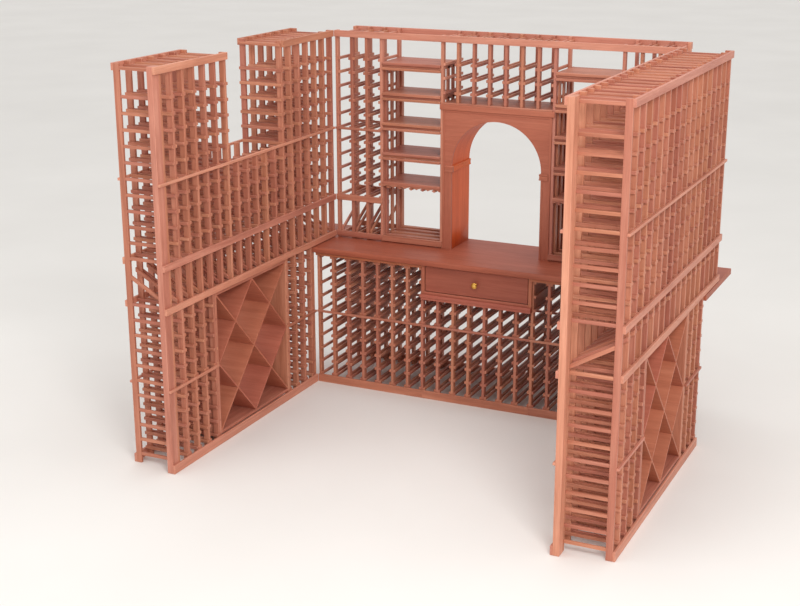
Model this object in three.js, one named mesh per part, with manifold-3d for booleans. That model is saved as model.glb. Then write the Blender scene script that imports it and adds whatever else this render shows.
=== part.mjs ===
// U-shaped wooden wine rack: two side runs, a back run with counter, drawer and arched niche.
// Millimetres, +Z up, aisle open towards -Y.
import * as THREE from 'three';
import Module from 'manifold-3d';

const wasm = await Module();
wasm.setup();

// ---- driving dimensions ----
const HEIGHT = 2438;          // overall height
const PITCH = 113;            // bottle column spacing, left and back runs
const PITCH_RIGHT = 115;      // bottle column spacing, right run
const ROW = 95.25;            // bottle row spacing
const DEPTH = 340;            // depth of a rack over its boards
const POST_W = 19;            // post thickness along the run
const POST_D = 38;            // post size front to back
const BOARD_T = 15;           // horizontal board thickness
const GAP = 0.3;              // clearance between separate pieces
const FACING_T = BOARD_T - 1 - GAP;  // facing in front of posts that carry boards
const RAIL_H = 19;            // bottle rail height
const SIDE_COLUMNS = 18;
const LOWER_COLUMNS = 15;     // side-run columns that go down to the floor
const BACK_COLUMNS = 21;
const STILE_W = 64;           // wide front stile at the near end of a side run
const RIGHT_NEAR = -36;       // the right run starts this much nearer
const AISLE = BACK_COLUMNS * PITCH + POST_W;
const SIDE_END = STILE_W + SIDE_COLUMNS * PITCH + POST_W;
const UPPER_FRONT = SIDE_END + 1;
const BASE_FRONT = 1805;
const CORNER = BASE_FRONT - GAP;  // where the side runs' low boards meet the back run
const BASE_DEPTH = UPPER_FRONT + DEPTH - BASE_FRONT;
const CENTRE_Y = (RIGHT_NEAR + UPPER_FRONT + DEPTH) / 2;

// heights of the horizontal members, bottom and top
const TOP_BOARD = [HEIGHT - 43, HEIGHT];
const MID_BOARD = [1760, 1776];
const SHOW_TOP_BOARD = [1259, 1300];
const SHOW_LOW_BOARD = [997, 1036];
const LOW_MID_BOARD = [516, 531];
const BASE_BOARD = [0, 55];
const TOP_ROW = 2258;         // top of the first rail of the upper rows
const UPPER_ROWS = 11;
const LOW_ROW = 927;          // top of the first rail of the lower rows
const LOWER_ROWS = 10;
const SHOW_FRONT = 1060;      // top of the sloping display rail at the front post
const SHOW_BACK = 1193;       // and at the back post
const COUNTER_TOP = 988;
const COUNTER_T = 38;
const COUNTER_FRONT = 1782;
const CUT = [6, 12];          // left run: ladders that end the full-height parts

// diamond bins
const BIN = [4, 12];
const BIN_WALL = 19;
const BIN_BASE = 57;
const BIN_TOP = 990;
const BIN_DIVIDER_T = 10;

// back run: ladder numbers that bound its parts
const BAYS = [0, 3, 7, 14, 18, 21];
const SHELF_TOPS = [2241, 2035.5, 1830, 1624.5, 1419];
const BAY_FLOOR = [1017, 1036];    // slatted floor of the stemware bay
const BATTENS = [50, 134, 218, 300];  // depths of its slats and side battens

// arched panel
const PANEL_TOP = 1985;
const CORNICE = [1949, PANEL_TOP];
const IMPOST = [1528, 1569];
const IMPOST_OUT = 12;        // how far the imposts stand into the arch
const ARCH_R = 319;
const ARCH_SPRING = 1571;
const PANEL_T = 14;
const LINER_T = 10;
const ARCH_STEPS = 24;

// drawer
const DRAWER_W = 734;
const DRAWER_Z = [771, 946];
const DRAWER_DEEP = 450;
const CASE_X = 393;           // half width of the drawer face frame
const LEDGE = [713, 751];
const FRIEZE = 20;            // height of the frieze under the counter
const KNOB_R = 21;

const WOOD = new THREE.MeshStandardMaterial({ color: 0xc67c5e, roughness: 0.55, metalness: 0 });
const WOOD_BOARD = new THREE.MeshStandardMaterial({ color: 0xcb8363, roughness: 0.52, metalness: 0 });
const WOOD_DARK = new THREE.MeshStandardMaterial({ color: 0xa65a42, roughness: 0.42, metalness: 0 });
const WOOD_PANEL = new THREE.MeshStandardMaterial({ color: 0xb4664a, roughness: 0.48, metalness: 0 });
const BRASS = new THREE.MeshStandardMaterial({ color: 0xc9a04c, roughness: 0.25, metalness: 1 });

// ---- geometry helpers ----
function toManifold(geometry) {
  const plain = geometry.index ? geometry.toNonIndexed() : geometry.clone();
  const positions = plain.getAttribute('position');
  const lookup = new Map();
  const vertices = [];
  const triangles = [];
  for (let i = 0; i < positions.count; i += 1) {
    const point = [positions.getX(i), positions.getY(i), positions.getZ(i)];
    const key = point.map((v) => Math.round(v * 1e4)).join();
    if (!lookup.has(key)) {
      lookup.set(key, vertices.length / 3);
      vertices.push(...point);
    }
    triangles.push(lookup.get(key));
  }
  return new wasm.Manifold(new wasm.Mesh({
    numProp: 3,
    vertProperties: new Float32Array(vertices),
    triVerts: new Uint32Array(triangles),
  }));
}

function toGeometry(solid) {
  const data = solid.getMesh();
  const geometry = new THREE.BufferGeometry();
  geometry.setAttribute('position', new THREE.BufferAttribute(data.vertProperties, 3));
  geometry.setIndex(new THREE.BufferAttribute(data.triVerts, 1));
  const flat = geometry.toNonIndexed();
  flat.computeVertexNormals();
  return flat;
}

function join(solids) {
  return solids.reduce((sum, solid) => sum.add(solid));
}

// Drops what joining flush faces can leave: slivers without volume and stray vertices.
function clean(solid) {
  return join(solid.decompose().filter((body) => body.volume() > 1)).simplify(0.01);
}

function box(x0, x1, y0, y1, z0, z1) {
  const geometry = new THREE.BoxGeometry(x1 - x0, y1 - y0, z1 - z0);
  geometry.translate((x0 + x1) / 2, (y0 + y1) / 2, (z0 + z1) / 2);
  return toManifold(geometry);
}

function extrude(shape, depth, matrix, steps = 12) {
  const geometry = new THREE.ExtrudeGeometry(shape, { depth, bevelEnabled: false, curveSegments: steps });
  geometry.applyMatrix4(matrix);
  return toManifold(geometry);
}

// A run has a direction along it (s) and a depth into it (d) measured from its front face.
const RUNS = {
  left: { place: (s, d) => [-d, s], into: [-1, 0, 0] },
  right: { place: (s, d) => [AISLE + d, s], into: [1, 0, 0] },
  upper: { place: (s, d) => [s, UPPER_FRONT + d], into: [0, 1, 0] },
  base: { place: (s, d) => [s, BASE_FRONT + d], into: [0, 1, 0] },
};

function runBox(run, s0, s1, d0, d1, z0, z1) {
  const a = run.place(s0, d0);
  const b = run.place(s1, d1);
  return box(
    Math.min(a[0], b[0]), Math.max(a[0], b[0]),
    Math.min(a[1], b[1]), Math.max(a[1], b[1]), z0, z1,
  );
}

// Turns a profile drawn as (depth, height) into the run, with its thickness along the run.
function crossways(run, s0, thickness) {
  const u = new THREE.Vector3(...run.into);
  const v = new THREE.Vector3(0, 0, 1);
  const t = new THREE.Vector3().crossVectors(u, v);
  const along = run.into[1] === 1 ? t.x : t.y;
  const [x, y] = run.place(along > 0 ? s0 : s0 + thickness, 0);
  return new THREE.Matrix4().makeBasis(u, v, t).setPosition(x, y, 0);
}

// Turns a profile drawn as (along, height) into the run, going from depth d0 inwards.
function facing(run, d0, depth) {
  const u = run.into[1] === 1 ? new THREE.Vector3(1, 0, 0) : new THREE.Vector3(0, 1, 0);
  const v = new THREE.Vector3(0, 0, 1);
  const t = new THREE.Vector3().crossVectors(u, v);
  const inwards = t.dot(new THREE.Vector3(...run.into)) > 0;
  const [x, y] = run.place(0, inwards ? d0 : d0 + depth);
  return new THREE.Matrix4().makeBasis(u, v, t).setPosition(x, y, 0);
}

function rectangle(u0, u1, v0, v1) {
  return polygon([[u0, v0], [u1, v0], [u1, v1], [u0, v1]]);
}

function polygon(points) {
  const path = new THREE.Shape();
  points.forEach(([u, v], i) => (i ? path.lineTo(u, v) : path.moveTo(u, v)));
  path.closePath();
  return path;
}

// ---- ladders ----
function rowRails(first, count, every = 1) {
  const rails = [];
  for (let k = count - 1; k >= 0; k -= every) {
    rails.unshift([first - k * ROW - RAIL_H, first - k * ROW]);
  }
  return rails;
}

const TOP_RAIL = [HEIGHT - 38, HEIGHT - 19];
const SHOW_LOW_RAIL = [1005, 1024];
const UPPER_RAILS = rowRails(TOP_ROW, UPPER_ROWS);
const LOWER_RAILS = rowRails(LOW_ROW, LOWER_ROWS);
const BACK_UPPER_RAILS = rowRails(TOP_ROW, UPPER_ROWS, 5);
const BACK_LOWER_RAILS = rowRails(LOW_ROW, LOWER_ROWS, 5);

// A ladder stands across the run: posts joined by the given rails, low to high.
function ladder(run, s, spec) {
  const { bottom, top, rails, posts = [BOARD_T, DEPTH - BOARD_T - POST_D], fused = false } = spec;
  const grow = fused ? 1 : -GAP;
  const front = posts[0] - grow;
  const back = posts[posts.length - 1] + POST_D + grow;
  const bars = [...rails].sort((a, b) => a[0] - b[0]);
  const gaps = [];
  for (let p = 0; p + 1 < posts.length; p += 1) {
    gaps.push(...ladderGaps(posts[p] + POST_D, posts[p + 1], bottom, top, bars));
  }
  const whole = runBox(run, s, s + POST_W, front, back, bottom, top);
  const through = crossways(run, s - 1, POST_W + 2);
  const holes = gaps.map((points) => extrude(polygon(points), POST_W + 2, through));
  return whole.subtract(join(holes));
}

// The openings between the rails; the display row keeps its sloping rail.
function ladderGaps(u0, u1, bottom, top, bars) {
  const gaps = [];
  let floor = bottom - 1;
  [...bars, [top + 1, top + 2]].forEach(([low, high]) => {
    if (floor > SHOW_LOW_RAIL[0] && floor < SHOW_FRONT && low > SHOW_BACK) {
      const drop = 25;
      gaps.push([[u0, floor], [u1, floor], [u1, SHOW_BACK - drop], [u0, SHOW_FRONT - drop]]);
      gaps.push([[u0, SHOW_FRONT], [u1, SHOW_BACK], [u1, low], [u0, low]]);
    } else if (low - floor > 1 && floor < top) {
      gaps.push([[u0, floor], [u1, floor], [u1, low], [u0, low]]);
    }
    floor = high;
  });
  return gaps;
}

// ---- assembly ----
const rack = new THREE.Group();
rack.name = 'wine_rack';
rack.position.set(-AISLE / 2, -CENTRE_Y, 0);

function addMesh(name, solid, material) {
  const mesh = new THREE.Mesh(toGeometry(clean(solid)), material);
  mesh.name = name;
  rack.add(mesh);
}

function boardPair(run, s0, s1, [low, high], backStart = s0) {
  return [
    runBox(run, s0, s1, 0, BOARD_T, low, high),
    runBox(run, backStart, s1, DEPTH - BOARD_T, DEPTH, low, high),
  ];
}

const upperOnly = COUNTER_TOP + GAP;

function sideLadderSpec(index, cutOut) {
  const inBin = index > BIN[0] && index < BIN[1];
  const overCounter = index > LOWER_COLUMNS;
  const short = cutOut && index > CUT[0] && index < CUT[1];
  const lowest = inBin ? BIN_TOP + GAP : upperOnly;
  const bottom = inBin || overCounter ? lowest : 0;
  const top = short ? MID_BOARD[1] : HEIGHT;
  const upper = short ? UPPER_RAILS.filter(([, high]) => high < top + 10) : [...UPPER_RAILS, TOP_RAIL];
  const rails = [...upper, SHOW_LOW_RAIL];
  if (bottom === 0) rails.push(...LOWER_RAILS);
  return { bottom, top, rails };
}

function buildSideRun(side, pitch, near, cutOut) {
  const run = RUNS[side];
  const first = near + STILE_W;
  const at = (k) => first + k * pitch;
  const end = at(SIDE_COLUMNS) + POST_W;
  const lowEnd = at(LOWER_COLUMNS) + POST_W;
  addMesh(`${side}_frame`, sideFrame(run, at, near, end, lowEnd, cutOut), WOOD_BOARD);
  for (let k = 1; k <= SIDE_COLUMNS; k += 1) {
    const name = `${side}_ladder_${String(k).padStart(2, '0')}`;
    const solids = [ladder(run, at(k), sideLadderSpec(k, cutOut))];
    if (k === LOWER_COLUMNS) solids.push(...cornerParts(run, at(BIN[1]), at(k)));
    if (k === SIDE_COLUMNS && cutOut) {
      solids.push(...fixedBoard(run, at(CUT[1]), at(k), TOP_BOARD));
      solids.push(...fixedBoard(run, at(CUT[1]), at(k), TOP_BOARD, true));
    }
    addMesh(name, join(solids), WOOD);
  }
  addBin(side, at(BIN[0]) + POST_W + GAP, at(BIN[1]) - GAP);
}

// A short board fixed to the ladder that starts at sLadder, where it ends unless told otherwise.
function fixedBoard(run, s0, sLadder, [low, high], behind = false, end = sLadder + POST_W) {
  const at = (d0, d1) => (behind ? [DEPTH - d1, DEPTH - d0] : [d0, d1]);
  return [
    runBox(run, s0, end, ...at(0, BOARD_T), low, high),
    runBox(run, sLadder, sLadder + POST_W, ...at(BOARD_T - 1, BOARD_T + 2), low, high),
  ];
}

// Beyond the bin: the short boards, and the strip that fills the inner corner under the counter.
function cornerParts(run, s0, sLadder) {
  const [d0, d1] = [BOARD_T + 1, BOARD_T + POST_D - 1];
  return [
    ...fixedBoard(run, s0, sLadder, LOW_MID_BOARD, false, CORNER),
    ...fixedBoard(run, s0, sLadder, LOW_MID_BOARD, true),
    runBox(run, sLadder + POST_W - 1, CORNER, d0, d1, 0, COUNTER_TOP - COUNTER_T - GAP),
  ];
}

// Boards, wide end stile, and the near-end ladder they are fixed to.
function sideFrame(run, at, near, end, lowEnd, cutOut) {
  const nearRails = [TOP_RAIL, ...UPPER_RAILS, SHOW_LOW_RAIL, ...LOWER_RAILS];
  const solids = [
    ladder(run, at(0), { bottom: 0, top: HEIGHT, rails: nearRails, fused: true }),
    runBox(run, near, at(0) + 1, BOARD_T - 1, BOARD_T + POST_D, 0, HEIGHT),
  ];
  const backStart = at(0);
  [MID_BOARD, SHOW_TOP_BOARD, SHOW_LOW_BOARD].forEach((level) => {
    solids.push(...boardPair(run, near, end, level, backStart));
  });
  if (cutOut) {
    solids.push(...boardPair(run, near, at(CUT[0]) + POST_W, TOP_BOARD, backStart));
  } else {
    solids.push(...boardPair(run, near, end, TOP_BOARD, backStart));
  }
  solids.push(runBox(run, near, CORNER, 0, BOARD_T, ...BASE_BOARD));
  solids.push(runBox(run, backStart, lowEnd, DEPTH - BOARD_T, DEPTH, ...BASE_BOARD));
  solids.push(...boardPair(run, near, at(BIN[0]) + POST_W, LOW_MID_BOARD, backStart));
  return join(solids);
}

// Diamond bin: a deep frame and the boards that divide it.
function addBin(side, s0, s1) {
  const run = RUNS[side];
  const d0 = BOARD_T + GAP;
  const deep = DEPTH - 2 * BOARD_T - 2 * GAP;
  const inner = [s0 + BIN_WALL, s1 - BIN_WALL, BIN_BASE + BIN_WALL, BIN_TOP - BIN_WALL];
  const [a0, a1, b0, b1] = inner;
  const outside = runBox(run, s0, s1, d0, d0 + deep, BIN_BASE, BIN_TOP);
  const inside = runBox(run, a0, a1, d0 - 1, d0 + deep + 1, b0, b1);
  addMesh(`${side}_bin_frame`, outside.subtract(inside), WOOD);
  addMesh(`${side}_bin_dividers`, binDividers(run, inner, d0, deep), WOOD_PANEL);
}

function binDividers(run, [a0, a1, b0, b1], d0, deep) {
  const am = (a0 + a1) / 2;
  const bm = (b0 + b1) / 2;
  const lines = [
    [[a0, b0], [a1, b1]], [[a0, b1], [a1, b0]],
    [[a0, bm], [am, b1]], [[am, b1], [a1, bm]],
    [[a1, bm], [am, b0]], [[am, b0], [a0, bm]],
  ];
  const matrix = facing(run, d0, deep);
  const boards = lines.map(([p, q]) => extrude(strip(p, q, BIN_DIVIDER_T), deep, matrix));
  const room = rectangle(a0 + GAP, a1 - GAP, b0 + GAP, b1 - GAP);
  return join(boards).intersect(extrude(room, deep, matrix));
}

function strip([u0, v0], [u1, v1], thickness) {
  const length = Math.hypot(u1 - u0, v1 - v0);
  const du = (u1 - u0) / length;
  const dv = (v1 - v0) / length;
  const over = 30;
  const nu = -dv * thickness / 2;
  const nv = du * thickness / 2;
  const a = [u0 - du * over, v0 - dv * over];
  const b = [u1 + du * over, v1 + dv * over];
  return polygon([
    [a[0] - nu, a[1] - nv], [b[0] - nu, b[1] - nv], [b[0] + nu, b[1] + nv], [a[0] + nu, a[1] + nv],
  ]);
}

// ---- back run, base ----
const BASE_POSTS = [BOARD_T, BASE_DEPTH - BOARD_T - POST_D];
const BASE_LADDER_TOP = COUNTER_TOP - COUNTER_T - GAP;

function baseRack(name, from, to, s0, s1, top) {
  const run = RUNS.base;
  const rails = BACK_LOWER_RAILS.filter(([, high]) => high < top - 30);
  rails.push([top - RAIL_H, top]);
  const solids = [];
  for (let k = from; k <= to; k += 1) {
    solids.push(ladder(run, k * PITCH, { bottom: 0, top, rails, posts: BASE_POSTS, fused: true }));
  }
  [BASE_BOARD, LOW_MID_BOARD].forEach(([low, high]) => {
    solids.push(runBox(run, s0, s1, 0, BOARD_T, low, high));
    solids.push(runBox(run, s0, s1, BASE_DEPTH - BOARD_T, BASE_DEPTH, low, high));
  });
  addMesh(name, join(solids), WOOD);
}

function buildBase() {
  const edge = BAYS[2] * PITCH + POST_W;
  baseRack('base_rack_left', 0, BAYS[2], 0, edge, BASE_LADDER_TOP);
  baseRack('base_rack_middle', BAYS[2] + 1, BAYS[3] - 1, edge + GAP, AISLE - edge - GAP, LEDGE[0] - GAP);
  baseRack('base_rack_right', BAYS[3], BACK_COLUMNS, AISLE - edge, AISLE, BASE_LADDER_TOP);
}

// Counter with a rounded nose; it runs on behind both side runs.
function buildCounter() {
  const x0 = -DEPTH;
  const x1 = AISLE + DEPTH;
  const back = UPPER_FRONT + DEPTH;
  const r = COUNTER_T / 2;
  const low = COUNTER_TOP - COUNTER_T;
  const shape = new THREE.Shape();
  shape.moveTo(back, low);
  shape.lineTo(back, COUNTER_TOP);
  shape.lineTo(COUNTER_FRONT + r, COUNTER_TOP);
  shape.absarc(COUNTER_FRONT + r, low + r, r, Math.PI / 2, 1.5 * Math.PI, false);
  shape.closePath();
  const turn = new THREE.Matrix4().makeBasis(
    new THREE.Vector3(0, 1, 0), new THREE.Vector3(0, 0, 1), new THREE.Vector3(1, 0, 0),
  ).setPosition(x0, 0, 0);
  const slab = extrude(shape, x1 - x0, turn, 10);
  const side = AISLE / 2 - CASE_X - GAP;
  const friezes = [[0, side], [AISLE - side, AISLE]].map(([a, b]) => (
    box(a, b, BASE_FRONT - 8, BASE_FRONT + FACING_T, low - FRIEZE, low + 1)
  ));
  addMesh('counter', join([slab, ...friezes]), WOOD_DARK);
}

// ---- drawer ----
function buildDrawerCase() {
  const mid = AISLE / 2;
  const run = RUNS.base;
  const half = DRAWER_W / 2 + 3;
  const plate = runBox(run, mid - CASE_X, mid + CASE_X, 0, FACING_T, LEDGE[1] - 1, BASE_LADDER_TOP);
  const opening = runBox(run, mid - half, mid + half, -1, BOARD_T, DRAWER_Z[0] - 3, COUNTER_TOP);
  const face = plate.subtract(opening);
  const ledge = runBox(run, mid - CASE_X, mid + CASE_X, -18, FACING_T, ...LEDGE);
  addMesh('drawer_face_frame', join([face, ledge]), WOOD_PANEL);
  const inner = BAYS[2] * PITCH + POST_W + GAP;
  const deep = DRAWER_DEEP + 40;
  const low = LEDGE[0];
  const right = AISLE - inner;
  addMesh('drawer_case', join([
    runBox(run, inner, inner + 14, BOARD_T, deep, low, BASE_LADDER_TOP),
    runBox(run, right - 14, right, BOARD_T, deep, low, BASE_LADDER_TOP),
    runBox(run, inner, right, BOARD_T, deep, low, low + 12),
  ]), WOOD_PANEL);
}

function buildDrawer() {
  const mid = AISLE / 2;
  const run = RUNS.base;
  const half = DRAWER_W / 2;
  const side = half - 10;
  const [low, high] = [DRAWER_Z[0] + 6, DRAWER_Z[1] - 16];
  const front = 14;
  addMesh('drawer_front', runBox(run, mid - half, mid + half, 0, front, ...DRAWER_Z), WOOD_DARK);
  const back = front + DRAWER_DEEP;
  const d0 = front + GAP;
  addMesh('drawer_box', join([
    runBox(run, mid - side, mid - side + 12, d0, back, low, high),
    runBox(run, mid + side - 12, mid + side, d0, back, low, high),
    runBox(run, mid - side, mid + side, back - 12, back, low, high),
  ]), WOOD);
  const inner = side - 12 - GAP;
  const floor = runBox(run, mid - inner, mid + inner, d0, back - 12 - GAP, low + 4, low + 10);
  addMesh('drawer_bottom', floor, WOOD);
  addMesh('drawer_knob', knob(mid), BRASS);
}

function knob(x) {
  const reach = 38;
  const profile = [
    [0, 0], [11, 0], [11, 3], [7, 6], [6, 14], [10, 19], [17, 22], [KNOB_R, 27],
    [KNOB_R, 31], [17, 35], [9, reach], [0, reach],
  ];
  const points = profile.map(([r, h]) => new THREE.Vector2(r, h));
  const geometry = new THREE.LatheGeometry(points, 16);
  geometry.rotateX(Math.PI);
  geometry.translate(x, BASE_FRONT - GAP, (DRAWER_Z[0] + DRAWER_Z[1]) / 2);
  return toManifold(geometry);
}

// ---- back run, upper part ----
function upperLadder(k, extra = {}) {
  const rails = [...BACK_UPPER_RAILS, TOP_RAIL, SHOW_LOW_RAIL];
  return ladder(RUNS.upper, k * PITCH, {
    bottom: upperOnly, top: HEIGHT - 1, rails, fused: true, ...extra,
  });
}

function buildUpperFrame() {
  const solids = BAYS.map((k) => upperLadder(k));
  solids.push(...boardPair(RUNS.upper, 0, AISLE, TOP_BOARD));
  addMesh('upper_frame', join(solids), WOOD_BOARD);
}

function upperRack(name, first, last) {
  const run = RUNS.upper;
  const s0 = first * PITCH;
  const s1 = last * PITCH + POST_W;
  const solids = [];
  for (let k = first + 1; k < last; k += 1) {
    solids.push(upperLadder(k, { top: TOP_BOARD[0] - GAP, rails: [...BACK_UPPER_RAILS, SHOW_LOW_RAIL] }));
  }
  [MID_BOARD, SHOW_TOP_BOARD, SHOW_LOW_BOARD].forEach(([low, high]) => {
    solids.push(runBox(run, s0, s1, 0, FACING_T, low, high));
    solids.push(runBox(run, s0, s1, DEPTH - FACING_T, DEPTH, low, high));
    solids.push(runBox(run, (first + 1) * PITCH, (last - 1) * PITCH + POST_W, 0, BOARD_T, low, high));
    const rear = [DEPTH - BOARD_T, DEPTH];
    solids.push(runBox(run, (first + 1) * PITCH, (last - 1) * PITCH + POST_W, ...rear, low, high));
  });
  addMesh(name, join(solids), WOOD);
}

function buildOverArchRack() {
  const run = RUNS.upper;
  const [from, to] = [BAYS[2], BAYS[3]];
  const rails = [...rowRails(TOP_ROW, 3, 2), [PANEL_TOP + GAP, PANEL_TOP + RAIL_H]];
  const top = TOP_BOARD[0] - GAP;
  const solids = [];
  for (let k = from + 1; k < to; k += 1) {
    solids.push(ladder(run, k * PITCH, {
      bottom: PANEL_TOP + GAP, top, rails, fused: true,
    }));
  }
  const s0 = from * PITCH + POST_W + GAP;
  const s1 = to * PITCH - GAP;
  solids.push(runBox(run, s0, s1, 6, DEPTH - 6, PANEL_TOP + GAP, PANEL_TOP + 10));
  addMesh('over_arch_rack', join(solids), WOOD);
}

// Horizontal display shelves between battens, with a stemware rack and a slatted floor below.
function shelfStack(name, first, last) {
  const run = RUNS.upper;
  const s0 = first * PITCH + POST_W + GAP;
  const s1 = last * PITCH - GAP;
  const solids = [];
  SHELF_TOPS.forEach((top, i) => {
    solids.push(runBox(run, s0, s1, 4, DEPTH - 20, top - 19, top));
    if (i < SHELF_TOPS.length - 1) {
      solids.push(runBox(run, s0, s1, 8, 22, top - 36, top - 18));
      solids.push(runBox(run, s0, s1, 3, 20, top - 53, top - 35));
    }
  });
  const low = SHELF_TOPS[SHELF_TOPS.length - 1] - 18;
  for (let i = 0; i < 5; i += 1) {
    const s = s0 + (s1 - s0) * (i + 0.5) / 5;
    solids.push(runBox(run, s - 16, s + 16, 30, DEPTH - 30, low - 26, low));
  }
  solids.push(...bayFloor(run, s0, s1, first > BAYS[2]));
  addMesh(name, join(solids), WOOD);
}

// Base board, its bearers, the floor slats and the side battens that rise from them.
function bayFloor(run, s0, s1, rightHand) {
  const floor = COUNTER_TOP + GAP;
  const over = POST_W + GAP;
  const front = rightHand ? [s0 - over, s1] : [s0, s1 + over];
  const solids = [runBox(run, ...front, 0, FACING_T, SHOW_LOW_BOARD[0], BAY_FLOOR[1])];
  [[s0 + 0.5, s0 + 12], [s1 - 12, s1 - 0.5]].forEach(([a, b]) => {
    solids.push(runBox(run, a, b, FACING_T - 1, DEPTH - 2, floor, BAY_FLOOR[0] + 1));
    BATTENS.forEach((d) => {
      solids.push(runBox(run, a, b, d, d + POST_D, BAY_FLOOR[0], SHELF_TOPS[0] - 1));
    });
  });
  BATTENS.forEach((d) => {
    solids.push(runBox(run, s0 + 0.5, s1 - 0.5, d, d + POST_D, ...BAY_FLOOR));
  });
  return solids;
}

function archPath(radius, foot) {
  const mid = AISLE / 2;
  const path = new THREE.Shape();
  path.moveTo(mid - radius, foot);
  path.lineTo(mid + radius, foot);
  path.lineTo(mid + radius, ARCH_SPRING);
  path.absarc(mid, ARCH_SPRING, radius, 0, Math.PI, false);
  path.closePath();
  return path;
}

function buildArch() {
  const run = RUNS.upper;
  const s0 = BAYS[2] * PITCH + POST_W + GAP;
  const s1 = AISLE - s0;
  const front = FACING_T - 1;
  const back = front + PANEL_T;
  const foot = COUNTER_TOP + GAP;
  const panel = extrude(rectangle(s0, s1, foot, PANEL_TOP), PANEL_T, facing(run, front, PANEL_T));
  const cut = archPath(ARCH_R, foot - 50);
  const opening = extrude(cut, PANEL_T + 80, facing(run, front - 40, PANEL_T + 80), ARCH_STEPS);
  const cornice = runBox(run, s0 - POST_W - GAP, s1 + POST_W + GAP, 0, FACING_T, ...CORNICE);
  const solids = [panel.subtract(opening), cornice];
  imposts(s0 + 15).forEach(([a, b]) => {
    solids.push(runBox(run, a, b, front - 9, back, ...IMPOST));
  });
  addMesh('arch_panel', join(solids), WOOD_PANEL);
  addMesh('arch_liner', archLiner(run, foot, back + GAP), WOOD_PANEL);
}

// The two blocks at the foot of the arch, from the outer edge given to inside the opening.
function imposts(outer) {
  const inner = AISLE / 2 - ARCH_R + IMPOST_OUT;
  return [[outer, inner], [AISLE - inner, AISLE - outer]];
}

function archLiner(run, foot, d0) {
  const deep = DEPTH - d0 - 16;
  const matrix = facing(run, d0, deep);
  const outer = extrude(archPath(ARCH_R + LINER_T, foot), deep, matrix, ARCH_STEPS);
  const wide = facing(run, d0 - 20, deep + 40);
  const inner = extrude(archPath(ARCH_R, foot - 20), deep + 40, wide, ARCH_STEPS);
  const bands = imposts(AISLE / 2 - ARCH_R - 1).map(([a, b]) => (
    runBox(run, a, b, d0, d0 + deep, ...IMPOST)
  ));
  return join([outer.subtract(inner), ...bands]);
}

buildSideRun('left', PITCH, 0, true);
buildSideRun('right', PITCH_RIGHT, RIGHT_NEAR, false);
buildBase();
buildCounter();
buildDrawerCase();
buildDrawer();
buildUpperFrame();
upperRack('upper_rack_left', BAYS[0], BAYS[1]);
upperRack('upper_rack_right', BAYS[4], BAYS[5]);
buildOverArchRack();
shelfStack('shelf_stack_left', BAYS[1], BAYS[2]);
shelfStack('shelf_stack_right', BAYS[3], BAYS[4]);
buildArch();

export default rack;
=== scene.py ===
import math
import random
from itertools import product

import bmesh
import bpy
import numpy as np
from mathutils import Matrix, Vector

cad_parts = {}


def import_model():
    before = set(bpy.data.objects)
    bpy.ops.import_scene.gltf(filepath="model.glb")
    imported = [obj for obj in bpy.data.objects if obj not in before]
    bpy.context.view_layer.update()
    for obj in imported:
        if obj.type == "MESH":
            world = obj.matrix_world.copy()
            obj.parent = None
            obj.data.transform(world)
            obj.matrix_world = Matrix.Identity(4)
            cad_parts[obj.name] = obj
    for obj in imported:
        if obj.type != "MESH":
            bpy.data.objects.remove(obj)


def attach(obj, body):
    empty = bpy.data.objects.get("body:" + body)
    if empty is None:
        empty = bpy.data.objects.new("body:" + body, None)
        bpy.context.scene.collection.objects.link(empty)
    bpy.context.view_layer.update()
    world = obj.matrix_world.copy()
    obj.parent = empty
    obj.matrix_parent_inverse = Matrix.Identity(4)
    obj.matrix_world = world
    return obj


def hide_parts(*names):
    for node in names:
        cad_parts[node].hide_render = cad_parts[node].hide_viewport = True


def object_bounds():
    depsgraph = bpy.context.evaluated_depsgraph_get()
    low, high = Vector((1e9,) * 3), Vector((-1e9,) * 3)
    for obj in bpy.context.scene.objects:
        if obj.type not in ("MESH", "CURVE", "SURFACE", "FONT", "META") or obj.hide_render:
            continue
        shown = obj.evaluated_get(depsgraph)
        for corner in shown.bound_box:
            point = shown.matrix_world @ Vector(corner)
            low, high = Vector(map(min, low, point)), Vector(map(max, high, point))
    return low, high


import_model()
cad_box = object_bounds()
rng = random.Random(11)

# ---- dimensions in millimetres, as in the part's source ----
HEIGHT = 2438
PITCH = {"left": 113, "right": 115, "upper": 113, "base": 113}
ROW = 95.25
DEPTH = 340
POST_W = 19
POST_D = 38
BOARD_T = 15
RAIL_H = 19
RAIL_T = 14
GAP = 0.3
SIDE_COLUMNS = 18
LOWER_COLUMNS = 15
BACK_COLUMNS = 21
STILE_W = 64
NEAR = {"left": 0, "right": -36}
AISLE = BACK_COLUMNS * PITCH["upper"] + POST_W
SIDE_END = STILE_W + SIDE_COLUMNS * PITCH["left"] + POST_W
UPPER_FRONT = SIDE_END + 1
BASE_FRONT = 1805
CORNER = BASE_FRONT - GAP
BASE_DEPTH = UPPER_FRONT + DEPTH - BASE_FRONT
CENTRE_X = AISLE / 2
CENTRE_Y = (NEAR["right"] + UPPER_FRONT + DEPTH) / 2

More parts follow.
